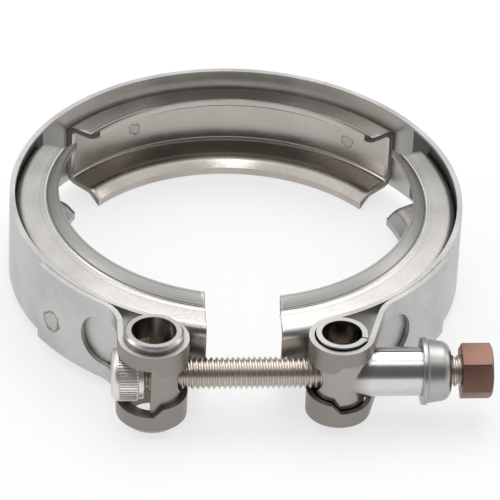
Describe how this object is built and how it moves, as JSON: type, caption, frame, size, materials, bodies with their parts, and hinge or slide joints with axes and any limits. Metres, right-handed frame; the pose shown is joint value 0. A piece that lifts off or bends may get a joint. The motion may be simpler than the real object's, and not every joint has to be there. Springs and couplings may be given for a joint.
{
  "type": "v-band exhaust clamp",
  "caption": "Profiled V-band clamp that pulls two exhaust pipe flanges together with one tightening screw, nut and trunnions.",
  "frame": {"origin": "centre of the ring, halfway up the strap", "axes": "+Z along the pipe, +X along the screw from its head to its nut, the screw on the -Y side"},
  "size_m": [0.0887, 0.096, 0.0206],
  "materials": {
    "strap": "satin",
    "segment": "satin",
    "trunnion": "satin",
    "sleeve": "gloss",
    "screw": "satin",
    "nut": "satin"
  },
  "bodies": {
    "clamp": {"strap_band": "strap", "back_segment": "segment", "left_segment": "segment", "right_segment": "segment", "left_trunnion": "trunnion", "right_trunnion": "sleeve", "sleeve_collar": "trunnion"},
    "screw": {"clamp_screw": "screw"},
    "nut": {"hex_nut": "nut"}
  },
  "joints": [
    {"name": "nut_turn", "type": "hinge", "parent": "clamp", "child": "nut", "pos_m": [0.043, -0.04575, 0], "axis": [1, 0, 0], "range_deg": [-378.1, 720.1]},
    {"name": "screw_slide", "type": "slide", "parent": "clamp", "child": "screw", "axis": [1, 0, 0], "range_m": [-0.002, 0.00105]}
  ],
  "couplings": [
    {"joint": "nut_turn", "follows": "screw_slide", "rad_per_m": -6283.2}
  ]
}
